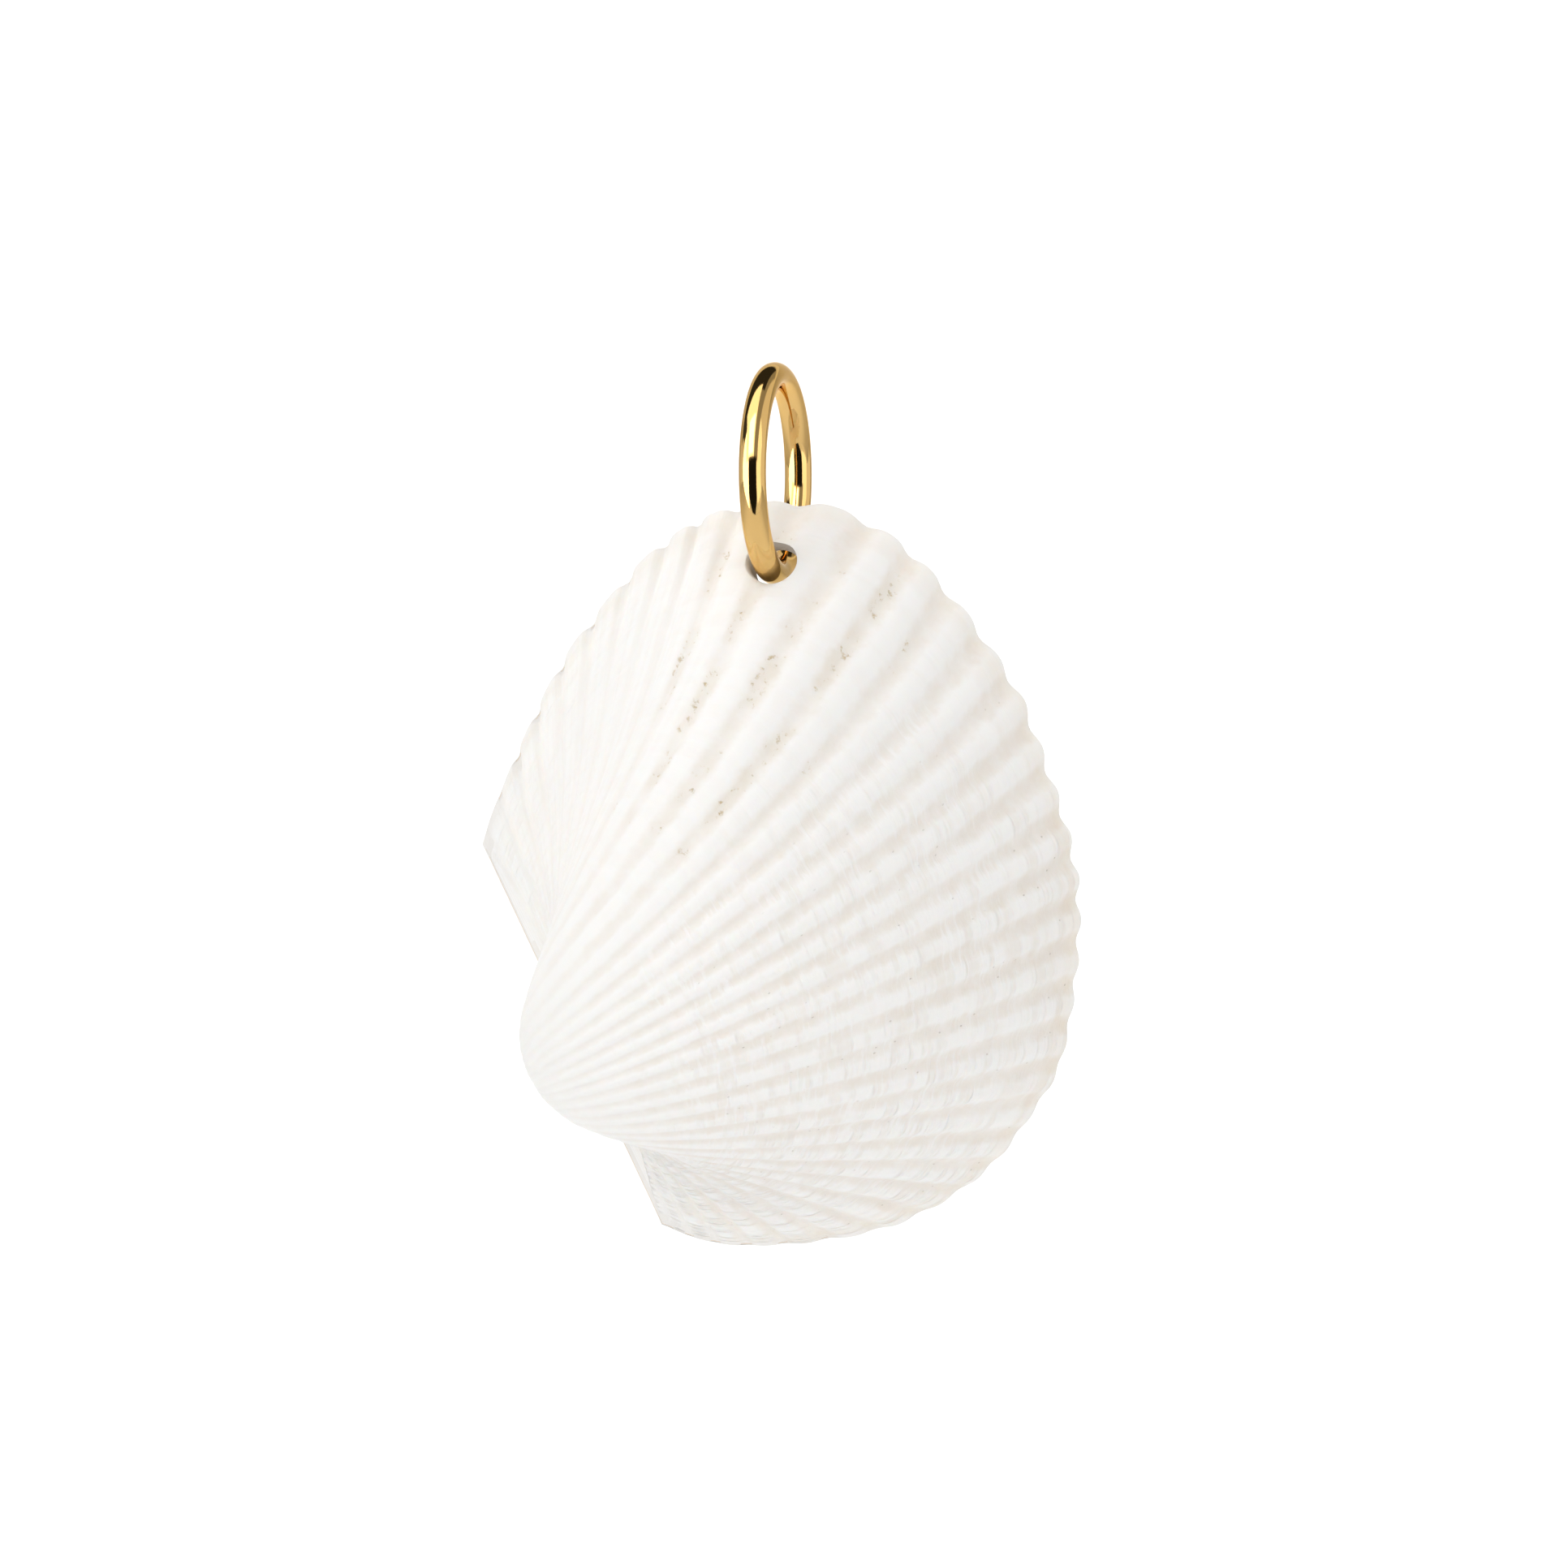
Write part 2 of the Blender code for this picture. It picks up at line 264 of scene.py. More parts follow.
class Maker:
    """Makes the nodes of one tree."""

    def __init__(self, tree):
        self.tree = tree

    def node(self, kind, settings=None, sockets=None):
        """One node: its settings first, then the value or link of each socket."""
        made = self.tree.nodes.new(kind)
        for name, value in (settings or {}).items():
            setattr(made, name, value)
        for name, value in (sockets or {}).items():
            self.feed(made.inputs[name], value)
        return made

    def feed(self, socket, value):
        if isinstance(value, Amount):
            value = value.socket
        if isinstance(value, bpy.types.NodeSocket):
            self.tree.links.new(value, socket)
        else:
            socket.default_value = value

    def math(self, operation, *values):
        made = self.node("ShaderNodeMath", {"operation": operation}, dict(enumerate(values)))
        return Amount(self, made.outputs[0])

    def clamp(self, value):
        return self.math("MINIMUM", self.math("MAXIMUM", value, 0.0), 1.0)

    def between(self, value, low, high):
        """0 below low, 1 above high, and smooth from one to the other; high may be the lower."""
        made = self.node("ShaderNodeMapRange", {"interpolation_type": "SMOOTHSTEP"},
                         {"Value": value, "From Min": low, "From Max": high})
        return Amount(self, made.outputs[0])

    def window(self, value, low, high, soft):
        """1 between low and high, and 0 further than soft outside them."""
        rise = self.between(value, low - soft, low)
        return rise * self.between(value, high + soft, high)

    def mix(self, factor, low, high):
        """Low where factor is 0 and high where it is 1, for numbers."""
        made = self.node("ShaderNodeMix", {"data_type": "FLOAT"}, {0: factor, 2: low, 3: high})
        return Amount(self, made.outputs[0])

    def vector(self, x, y, z):
        made = self.node("ShaderNodeCombineXYZ", {}, {0: x, 1: y, 2: z})
        return made.outputs[0]

    def split(self, vector):
        made = self.node("ShaderNodeSeparateXYZ", {}, {0: vector})
        return [Amount(self, socket) for socket in made.outputs]

    def vector_math(self, operation, *values):
        settings = {"operation": operation}
        return self.node("ShaderNodeVectorMath", settings, dict(enumerate(values))).outputs[0]

    def mix_vectors(self, factor, low, high):
        made = self.node("ShaderNodeMix", {"data_type": "VECTOR"}, {0: factor, 4: low, 5: high})
        return made.outputs[1]

    def tint(self, colour, *layers):
        """The colour with layers laid over it, each a mask and a colour."""
        for mask, over in layers:
            made = self.node("ShaderNodeMix", {"data_type": "RGBA"},
                             {0: mask, 6: colour, 7: (*over, 1.0)})
            colour = made.outputs[2]
        return colour

    def noise(self, vector, scale=1.0, detail=2.0, roughness=0.5):
        """Noise from about 0 to 1."""
        made = self.node("ShaderNodeTexNoise", {}, {
            "Vector": vector, "Scale": scale, "Detail": detail, "Roughness": roughness})
        return Amount(self, made.outputs[0])

    def cells(self, vector):
        """Distance to the nearest of a field of scattered points."""
        made = self.node("ShaderNodeTexVoronoi", {}, {"Vector": vector, "Scale": 1.0})
        return Amount(self, made.outputs["Distance"])

    def constant(self, number):
        made = self.node("ShaderNodeValue")
        made.outputs[0].default_value = number
        return Amount(self, made.outputs[0])

    def named(self, name):
        """A number that the geometry carries under this name."""
        made = self.node("GeometryNodeInputNamedAttribute", {"data_type": "FLOAT"},
                         {"Name": name})
        return Amount(self, made.outputs["Attribute"])

    def geometry(self, kind, sockets, settings=None):
        """The geometry that a Geometry Nodes node gives."""
        return self.node("GeometryNode" + kind, settings, sockets).outputs[0]

    def store(self, geometry, name, value, data_type, domain):
        return self.geometry("StoreNamedAttribute",
                             {"Geometry": geometry, "Name": name, "Value": value},
                             {"data_type": data_type, "domain": domain})


# Geometry Nodes trees and their objects

SOCKETS = {"Geometry": "NodeSocketGeometry", "Vector": "NodeSocketVector",
           "Material": "NodeSocketMaterial", "Int": "NodeSocketInt"}


def new_tree(name, inputs, outputs):
    """A Geometry Nodes tree with named sockets, its maker, its inputs by name and its end."""
    tree = bpy.data.node_groups.new(name, "GeometryNodeTree")
    for in_out, names in (("INPUT", inputs), ("OUTPUT", outputs)):
        for socket_name, kind in names.items():
            socket_type = SOCKETS.get(kind, "NodeSocketFloat")
            item = tree.interface.new_socket(socket_name, in_out=in_out, socket_type=socket_type)
            if kind == "Length":
                item.subtype = "DISTANCE"
    maker = Maker(tree)
    start = tree.nodes.new("NodeGroupInput")
    given = {}
    for socket in start.outputs[:-1]:
        number = inputs[socket.name] in ("Float", "Length", "Int")
        given[socket.name] = Amount(maker, socket) if number else socket
    end = tree.nodes.new("NodeGroupOutput")
    return tree, maker, given, end


def show(name, data):
    """An object at the origin that shows a mesh, a light or a camera."""
    thing = bpy.data.objects.new(name, data)
    bpy.context.scene.collection.objects.link(thing)
    return thing


def end_tree(maker, end, geometry, material):
    """Smooth, real, with its material: how every tree that makes a piece ends."""
    smooth = maker.geometry("SetShadeSmooth", {"Geometry": geometry})
    real = maker.geometry("RealizeInstances", {"Geometry": smooth})
    painted = maker.geometry("SetMaterial", {"Geometry": real, "Material": material})
    maker.feed(end.inputs["Geometry"], painted)


def grow_mesh(name, source, tree, values):
    """The plain mesh that the tree makes from the source mesh with these inputs."""
    thing = show(name, source)
    modifier = thing.modifiers.new(name, "NODES")
    modifier.node_group = tree
    for item in tree.interface.items_tree:
        if item.in_out == "INPUT" and item.name in values:
            modifier[item.identifier] = values[item.name]
    bpy.context.view_layer.update()
    graph = bpy.context.evaluated_depsgraph_get()
    mesh = bpy.data.meshes.new_from_object(thing.evaluated_get(graph))
    bpy.data.objects.remove(thing, do_unlink=True)
    mesh.name = name
    return mesh


def on_edge(maker, edge, share, number=None):
    """Sample the edge's curve at a share of its length: a named number, or place and tangent."""
    sockets = {"Curves": edge, "Factor": share}
    if number:
        sockets["Value"] = maker.named(number)
    made = maker.node("GeometryNodeSampleCurve", {"mode": "FACTOR", "data_type": "FLOAT"},
                      sockets)
    if number:
        return Amount(maker, made.outputs["Value"])
    return made.outputs["Position"], made.outputs["Tangent"]


def rib_beads(maker, number, along):
    """Noise that runs along each rib by itself, from the rib's number and a place along it."""
    rib = maker.math("ROUND", number + 0.5)
    return maker.noise(maker.vector(rib * BEAD_STEP, along, 3.1), detail=2.0)


def growth_rule():
    """Node group: where a share of the edge lay when the valve had a given share of its size,
    and which way is outward there."""
    inputs = {"Edge": "Geometry", "Share": "Float", "Size": "Float", "Growth": "Float",
              "Coil Height": "Length", "Lean": "Float", "Beak Shift": "Length"}
    tree, maker, given, end = new_tree("growth rule", inputs,
                                       {"Place": "Vector", "Outward": "Vector"})
    size, growth, height = given["Size"], given["Growth"], given["Coil Height"]
    drift = on_edge(maker, given["Edge"], given["Share"], "rib_drift")
    was = given["Share"] + drift * (1.0 - size)
    place, tangent = on_edge(maker, given["Edge"], was)
    a, b, _ = maker.split(place)
    along_a, along_b, _ = maker.split(tangent)
    turn = -maker.math("LOGARITHM", size, math.e) / growth
    sine, cosine = maker.math("SINE", turn), maker.math("COSINE", turn)
    rise = b * sine - height * cosine
    reach = b * cosine + height * sine
    z = height + size * rise
    y = size * reach + given["Beak Shift"] * (1.0 - size)
    x = a * size + given["Lean"] * z
    along = maker.vector(along_a + given["Lean"] * along_b * sine, along_b * cosine,
                         along_b * sine)
    climb = rise - reach / growth
    across = maker.vector(a + given["Lean"] * climb,
                          reach + rise / growth - given["Beak Shift"], climb)
    outward = maker.vector_math("NORMALIZE", maker.vector_math("CROSS_PRODUCT", along, across))
    maker.feed(end.inputs["Place"], maker.vector(x, y, z))
    maker.feed(end.inputs["Outward"], outward)
    return tree


def unit_grid(maker, columns, rows):
    """A grid of one metre, with its own x and y from 0 to 1 kept on its points."""
    grid = maker.geometry("MeshGrid", {
        "Size X": 1.0, "Size Y": 1.0, "Vertices X": columns + 1.0, "Vertices Y": rows + 1.0})
    x, y, _ = maker.split(maker.node("GeometryNodeInputPosition").outputs[0])
    for name, value in (("around", x + 0.5), ("down", y + 0.5)):
        grid = maker.store(grid, name, value, "FLOAT", "POINT")
    return grid


def relief(maker, given, edge, share, size, number):
    """Height of ribs and growth over the smooth outside, how deep the groove is, and the rib's
    number where the ribs have bent."""
    near_edge = maker.clamp((size - EDGE_BAND) / (1.0 - EDGE_BAND))
    number = number - near_edge * on_edge(maker, edge, share, "edge_bend")
    strength = maker.mix(near_edge, on_edge(maker, edge, share, "rib_strength"),
                         on_edge(maker, edge, share, "edge_strength"))
    flat = on_edge(maker, edge, share, "rib_flatness")
    valley = maker.math("ABSOLUTE", maker.math("COSINE", number * math.pi))
    groove = valley ** (2.4 + 3.6 * flat)
    fade = maker.between(size, 0.02, 0.30)
    beads = rib_beads(maker, number, size * 34.0)
    lumps = 1.0 + 0.5 * (beads - 0.5) * (1.0 - flat)
    ribs = (given["Rib Crest"] * lumps - groove) * strength * fade
    waves = maker.noise(maker.vector(number * 0.10, size * 16.0, 0.0), detail=1.5) - 0.5
    ledge = maker.between(size, 0.925, 0.945) * maker.between(size, 1.0, 0.96)
    height = given["Rib Height"] * size * (ribs + 0.30 * waves - 0.10 * ledge)
    return height, groove * strength * fade, number


def plate_width(given, x):
    """Width of the hinge plate, which flares from its middle to its ends."""
    return given["Hinge Plate"] + given["Plate Flare"] * (x / PLATE_REACH) ** 2.0


def hollow(maker, given, plain, rim, inward, ridges):
    """Place of the inside, and its rows' size. Rows shrink towards the middle, and their height
    follows the outside's."""
    rim_x, rim_y, _ = maker.split(rim)
    ring = 1.0 - inward ** 1.15
    x = given["Hollow X"] + (rim_x - given["Hollow X"]) * ring
    y = given["Hollow Y"] + (rim_y - given["Hollow Y"]) * ring
    ray = maker.node("GeometryNodeRaycast", {"data_type": "FLOAT"}, {
        "Target Geometry": plain, "Source Position": maker.vector(x, y, -0.001),
        "Ray Direction": (0.0, 0.0, 1.0), "Ray Length": 0.05})
    top = maker.split(ray.outputs["Hit Position"])[2]
    facing = maker.math("ABSOLUTE", maker.split(ray.outputs["Hit Normal"])[2])
    roof = top - given["Wall"] / maker.math("MAXIMUM", facing, 0.42)
    roof = roof * Amount(maker, ray.outputs["Is Hit"])
    past_edge = y - plate_width(given, x)
    past_plate = maker.clamp(past_edge / given["Cavity Run"])
    vault = given["Cavity Height"] * maker.math("SQRT", 1.0 - (1.0 - past_plate) ** 2.0)
    depth = maker.math("SMOOTH_MIN", roof, vault, ROOF_BLEND)
    depth = depth + RIM_RIDGE * ridges * maker.window(ring, 0.915, 0.980, 0.02)
    depth = maker.math("SMOOTH_MAX", depth, 0.0, FLOOR_BLEND)

    # The hinge plate is sunk a little between its lip and its edge
    sunk = given["Plate Sink"] * maker.between(y, 0.0002, 0.0006)
    sunk = sunk * maker.between(past_edge, 0.0, -0.0004) * maker.window(x, *PLATE_ENDS, 0.0008)
    depth = maker.math("MAXIMUM", depth, sunk) * maker.between(inward, 0.0, 0.03)
    return maker.vector(x, y, depth), ring


def valve_tree():
    """The closed valve as one grid, bent: rows run from the beak's tip down the ribbed outside
    to the edge, over the rim, and on to the middle of the hollow. Columns run round the edge
    and back along the hinge."""
    inputs = {
        "Geometry": "Geometry", "Growth": "Float", "Coil Height": "Length", "Lean": "Float",
        "Beak Shift": "Length", "Beak Size": "Float", "Rib Height": "Length",
        "Rib Crest": "Float", "Wall": "Length", "Hinge Plate": "Length",
        "Plate Flare": "Length", "Plate Sink": "Length", "Cavity Height": "Length",
        "Cavity Run": "Length", "Hollow X": "Length", "Hollow Y": "Length",
        "Edge Columns": "Int", "Hinge Columns": "Int", "Outside Rows": "Int",
        "Inside Rows": "Int", "Material": "Material",
    }
    tree, maker, given, end = new_tree("valve", inputs, {"Geometry": "Geometry"})
    edge = maker.geometry("MeshToCurve", {"Mesh": given["Geometry"]})
    rule = growth_rule()

    def grown(share, size):
        sockets = {"Edge": edge, "Share": share, "Size": size}
        for name in ("Growth", "Coil Height", "Lean", "Beak Shift"):
            sockets[name] = given[name]
        made = maker.node("GeometryNodeGroup", {"node_tree": rule}, sockets)
        return made.outputs["Place"], made.outputs["Outward"]

    around, down = maker.named("around"), maker.named("down")

    # The smooth outside alone, for the hollow to be measured from
    plain_place, _ = grown(around, maker.mix(down, given["Beak Size"], 1.0))
    plain_grid = unit_grid(maker, *(maker.constant(count) for count in PLAIN_GRID))
    plain = maker.geometry("SetPosition", {"Geometry": plain_grid, "Position": plain_place})

    # Shares of the grid
    columns = given["Edge Columns"] + given["Hinge Columns"]
    rows = given["Outside Rows"] + given["Inside Rows"]
    edge_part = given["Edge Columns"] / columns
    outside_part = given["Outside Rows"] / rows
    grid = unit_grid(maker, columns, rows)
    column = maker.clamp(around / edge_part)
    share = on_edge(maker, edge, column, "column_share")
    on_hinge = around > edge_part + HAIR
    back_to_front = maker.clamp((around - edge_part) / (1.0 - edge_part))
    inside = down > outside_part + HAIR
    grown_part = maker.clamp(down / outside_part)
    inward = maker.clamp((down - outside_part) / (1.0 - outside_part))

    first = given["Beak Size"] ** (1.0 / ROW_SPREAD)
    size = (first + (1.0 - first) * grown_part) ** ROW_SPREAD * (grown_part > HAIR)

    def ribbed(share, size, number):
        """The outside with its relief, how deep its groove is, and its rib's number."""
        place, outward = grown(share, size)
        height, groove, number = relief(maker, given, edge, share, size, number)
        raised = maker.vector_math("MULTIPLY_ADD", outward,
                                   maker.vector(height, height, height), place)
        return raised, groove, number

    def cardinal(size):
        """The area between beak and hinge, from the back end to the front end."""
        return maker.mix_vectors(back_to_front, grown(1.0, size)[0], grown(0.0, size)[0])

    wander = maker.noise(maker.vector(share * 60.0, size * 5.0, 7.7), detail=1.0) - 0.5
    edge_number = on_edge(maker, edge, share, "rib_number")
    number = edge_number + 0.10 * wander * (1.0 - size)
    raised, groove, number = ribbed(share, size, number)
    x, y, z = maker.split(maker.mix_vectors(on_hinge, raised, cardinal(size)))
    outside = maker.vector(x, y, z * (grown_part < 1.0 - HAIR))

    # The inside's rows start from the edge itself
    rim, _, edge_number = ribbed(share, maker.constant(1.0), edge_number)
    rim = maker.mix_vectors(on_hinge, rim, cardinal(1.0))
    ridges = maker.math("COSINE", edge_number * 2.0 * math.pi)
    ridges = ridges * on_edge(maker, edge, share, "rib_strength") * (1.0 - on_hinge)
    inner, ring = hollow(maker, given, plain, rim, inward, ridges)

    shaped = maker.geometry("SetPosition", {
        "Geometry": grid, "Position": maker.mix_vectors(inside, outside, inner)})

    # What the material reads, on the corners so that the drill can cut it
    maps = {
        "ribs": maker.vector(number / RIBS_IN_UV, maker.mix(inside, size, ring), 0.0),
        "side": maker.vector(inside, on_hinge, 0.0),
        "groove": maker.vector(groove * (1.0 - on_hinge), share, 0.0),
    }
    for name, value in maps.items():
        shaped = maker.store(shaped, name, value, "FLOAT2", "CORNER")
    closed = maker.geometry("MergeByDistance", {"Geometry": shaped, "Distance": 1e-6})
    end_tree(maker, end, closed, given["Material"])
    return tree


def edge_mesh():
    """The edge's outline as a line mesh that carries its numbers."""
    outline, numbers = edge_numbers()
    mesh = bpy.data.meshes.new("valve edge")
    line = [(i, i + 1) for i in range(len(outline) - 1)]
    mesh.from_pydata([(x, y, 0.0) for x, y in outline], line, [])
    for name, values in numbers.items():
        attribute = mesh.attributes.new(name, "FLOAT", "POINT")
        attribute.data.foreach_set("value", values.astype(np.float32))
    return mesh


def drill(valve):
    """The hole's cutter: a round bit with a flare where each rim is worn."""
    bm = bmesh.new()
    loops = []
    for height, flare in DRILL_PROFILE:
        out = 0.5 * valve.hole + flare * MM
        angles = [2.0 * math.pi * i / DRILL_SIDES for i in range(DRILL_SIDES)]
        loops.append([bm.verts.new((out * math.cos(angle), out * math.sin(angle), height * MM))
                      for angle in angles])
    for lower, upper in zip(loops, loops[1:]):
        for i in range(DRILL_SIDES):
            j = (i + 1) % DRILL_SIDES
            bm.faces.new((lower[i], lower[j], upper[j], upper[i]))
    bm.faces.new(reversed(loops[0]))
    bm.faces.new(loops[-1])
    bmesh.ops.recalc_face_normals(bm, faces=bm.faces)
    for name, value in (("ribs", (HOLE_SHARE, HOLE_SIZE)), ("side", (0.5, 0.0)),
                        ("groove", (0.0, HOLE_SHARE))):
        layer = bm.loops.layers.uv.new(name)
        for face in bm.faces:
            for loop in face.loops:
                loop[layer].uv = value
    mesh = bpy.data.meshes.new("drill")
    bm.to_mesh(mesh)
    bm.free()
    mesh.shade_smooth()
    thing = show("drill", mesh)
    tilt = Matrix.Rotation(math.radians(90.0 - HOLE_TILT), 4, "X")
    thing.matrix_world = Matrix.Translation(Vector(DRILL_CENTRE) * MM) @ tilt
    return thing


def teeth_tree():
    """A row of short ridges across the hinge plate, small in the middle and slanted outwards."""
    inputs = {"Geometry": "Geometry", "Teeth": "Int", "Front": "Length", "Back": "Length",
              "Length": "Length", "Width": "Length", "Height": "Length",
              "Hinge Plate": "Length", "Plate Flare": "Length", "Material": "Material"}
    tree, maker, given, end = new_tree("hinge teeth", inputs, {"Geometry": "Geometry"})
    count = given["Teeth"]
    index = Amount(maker, maker.node("GeometryNodeInputIndex").outputs[0])
    along = index / (count - 1.0)
    x = maker.mix(along, given["Front"], given["Back"])
    outwards = 2.0 * along - 1.0
    y = 0.45 * plate_width(given, x) + 0.0002
    line = maker.geometry("MeshLine", {"Count": count})
    points = maker.geometry("SetPosition", {
        "Geometry": line, "Position": maker.vector(x, y, given["Height"] * 0.55)})
    ridge = maker.geometry("MeshUVSphere", {"Segments": 16, "Rings": 8, "Radius": 0.5})
    grow = 0.55 + 0.45 * maker.math("ABSOLUTE", outwards)
    size = maker.vector(given["Width"] * (0.8 + 0.3 * grow),
                        given["Length"] * grow, given["Height"])
    angle = maker.vector(0.0, 0.0, -0.38 * outwards * maker.math("ABSOLUTE", outwards))
    turned = maker.node("FunctionNodeEulerToRotation", {}, {0: angle}).outputs[0]
    placed = maker.geometry("InstanceOnPoints", {
        "Points": points, "Instance": ridge, "Rotation": turned, "Scale": size})
    end_tree(maker, end, placed, given["Material"])
    return tree


def ring_tree():
    """Round wire bent into a ring whose two rounded ends meet."""
    inputs = {"Geometry": "Geometry", "Radius": "Length", "Wire": "Length", "Gap": "Length",
              "Joint Angle": "Float", "Steps": "Int", "Wire Steps": "Int",
              "Material": "Material"}
    tree, maker, given, end = new_tree("jump ring", inputs, {"Geometry": "Geometry"})
    gap = given["Gap"] / given["Radius"]
    arc = maker.geometry("CurveArc", {
        "Resolution": given["Steps"], "Radius": given["Radius"],
        "Start Angle": given["Joint Angle"] + 0.5 * gap,
        "Sweep Angle": 2.0 * math.pi - gap}, {"mode": "RADIUS"})
    section = maker.geometry("CurvePrimitiveCircle", {
        "Resolution": given["Wire Steps"], "Radius": 0.5 * given["Wire"]}, {"mode": "RADIUS"})
    factor = Amount(maker, maker.node("GeometryNodeSplineParameter").outputs["Factor"])
    from_end = maker.math("MINIMUM", factor, 1.0 - factor)
    worn = 0.93 + 0.07 * maker.between(from_end, 0.0, 0.004)
    wire = maker.geometry("CurveToMesh", {
        "Curve": arc, "Profile Curve": section, "Scale": worn, "Fill Caps": True})
    end_tree(maker, end, wire, given["Material"])
    return tree


# Materials

def new_material(name, roughness, metallic=0.0):
    """A material with one Principled shader, its maker and its shader."""
    material = bpy.data.materials.new(name)
    material.use_nodes = True
    maker = Maker(material.node_tree)
    shader = material.node_tree.nodes["Principled BSDF"]
    shader.inputs["Roughness"].default_value = roughness
    shader.inputs["Metallic"].default_value = metallic
    return material, maker, shader


def muscle_marks(maker, valve, here, size, share):
    """The round scars that two muscles left inside, and the mantle's line between them."""
    back = hanging(valve).inverted()
    own = [Amount(maker, maker.node("ShaderNodeVectorMath", {"operation": "DOT_PRODUCT"}, {
        0: here, 1: tuple(row[:3])}).outputs["Value"]) + row[3] for row in back[:2]]
    scars = 0.0
    for x, y, wide, tall in MUSCLE_SCARS:
        a = (own[0] - x * MM) / (wide * MM)
        b = (own[1] - y * MM) / (tall * MM)
        scars = scars + maker.between(a * a + b * b, 1.35, 0.70)
    mantle = maker.window(size, 0.795, 0.805, 0.012) * maker.window(share, 0.16, 0.90, 0.02)
    return maker.clamp(scars + 0.6 * mantle * (1.0 - scars))


def worn_shell(valve):
    """Chalky white shell: warm grooves with pits and pores, growth lines across the ribs, fine
    lines along the flat ones, and a smoother, faintly glossy inside."""
    material, maker, shader = new_material("worn shell", 0.5)
    noise, vector, between, window = maker.noise, maker.vector, maker.between, maker.window
    shader.inputs["Subsurface Weight"].default_value = 0.35
    shader.inputs["Subsurface Scale"].default_value = 0.0006
    shader.inputs["Subsurface Radius"].default_value = (1.0, 0.7, 0.5)
    shader.inputs["Specular IOR Level"].default_value = 0.35

    def uv(name):
        return maker.split(maker.node("ShaderNodeUVMap", {"uv_map": name}).outputs[0])

    number, size, _ = uv("ribs")
    number = number * RIBS_IN_UV
    inside, on_hinge, _ = uv("side")
    groove, share, _ = uv("groove")
    here = maker.node("ShaderNodeTexCoord").outputs["Object"]
    outside = (1.0 - between(inside, 0.1, 0.4)) * (1.0 - on_hinge)
    within = between(inside, 0.6, 0.9)

    # Growth lines lie across the ribs, striae along them; the front end is worn smoother
    lines = noise(vector(number * 0.45, size * 95.0, 0.0), detail=2.0)
    fine = noise(vector(number * 2.0, size * 150.0, 5.0), detail=2.0)
    striae = noise(vector(number * 7.0, size * 4.0, 2.0), detail=3.0)
    grain = noise(here, scale=3200.0, detail=3.0, roughness=0.6)
    crumbs = noise(here, scale=1900.0, detail=2.0, roughness=0.6) - 0.5
    mottle = noise(here, scale=1100.0, detail=3.0, roughness=0.6)
    cloud = noise(here, scale=260.0, detail=4.0, roughness=0.6)
    flat = between(share, 0.34, 0.2)
    lower = between(share, 0.36, 0.60)
    strong = between(share, 0.20, 0.36) * between(share, 1.0, 0.9)

    # Ribs: beads along the crests, and beige grooves with soft, crumbling sides
    valley = maker.math("ABSOLUTE", maker.math("COSINE", (number + 0.16 * crumbs) * math.pi))
    crest = 1.0 - valley * valley
    beads = rib_beads(maker, number, size * 46.0)
    gaps = between(beads, 0.54, 0.36) * crest * (0.25 + 0.75 * lower)
    gaps = gaps * between(size, 0.3, 0.5)
    beige = between(valley + 0.5 * (mottle - 0.5), 0.50, 1.05) * (0.30 + 0.70 * strong)
    beige = beige * between(size, 0.12, 0.45) * (0.25 + 1.3 * mottle)

    # Small ragged pits in the floor of the rougher grooves hold ochre
    rough = window(share, 0.275, 0.38, 0.04) * window(size, 0.58, 0.90, 0.10)
    floor = valley ** 4.0
    specks = noise(here, scale=2700.0, detail=3.0, roughness=0.7)
    where = noise(vector(number * 0.8, size * 15.0, 4.0), detail=1.0)
    stain = between(floor, 0.25, 0.9) * rough * between(where, 0.36, 0.62)
    pits = between(specks, 0.57, 0.72) * between(stain, 0.1, 0.5)
    far_specks = maker.cells(vector(number * 3.1, size * 42.0, 9.0))
    pores = between(far_specks, 0.09, 0.04) * between(groove, 0.04, 0.3)
    pores = pores * between(size, 0.35, 0.5) * lower

    # Thin broken white lines across the lower ribs, where old growth stopped
    stops = noise(vector(number * 0.9, size * 150.0 + 0.5 * mottle, 8.0), detail=2.0)
    broken = noise(vector(number * 1.1, size * 16.0, 6.0), detail=2.0)
    ticks = between(stops, 0.48, 0.66) * between(broken, 0.36, 0.56)
    ticks = ticks * window(size, 0.44, 0.84, 0.08) * window(share, 0.46, 0.92, 0.08)

    marks = muscle_marks(maker, valve, here, size, share) * within
    # Painted shade: warm patches over the lower right, most in the grooves, where the shading is
    # warmer
    warm_shade = between(noise(here, scale=110.0, detail=2.0), 0.48, 0.66)
    warm_shade = warm_shade * window(share, 0.48, 0.80, 0.10) * window(size, 0.58, 0.95, 0.10)
    warm = (0.44 + 0.12 * lower) * beige + 0.20 * warm_shade * (1.0 - 0.6 * crest) + 0.34 * gaps
    warm = warm + 0.55 * (striae - 0.45) * flat + 0.25 * between(size, 0.950, 0.985)
    warm = maker.clamp(warm - 0.30 * ticks)
    umbo = between(size, 0.42, 0.12) * 0.5
    # The hole's wall: its bare beige made darker and warmer with painted shade and a painted gold
    # reflection
    drilled = window(inside, 0.45, 0.55, 0.05)
    colour = maker.tint(
        (*valve.crest_colour, 1.0),
        (warm, valve.groove_and_shade_colour),
        (umbo * outside, valve.umbo_colour),
        (maker.clamp(0.17 * stain + 0.75 * pits) * outside, valve.pit_colour),
        (pores * 0.40 * outside, valve.pore_colour),
        (drilled, valve.drilled_and_shade_colour),
        (within, valve.inside_colour),
        (maker.clamp(0.4 * marks + 0.25 * within * mottle), valve.scar_colour))
    maker.feed(shader.inputs["Base Color"], colour)

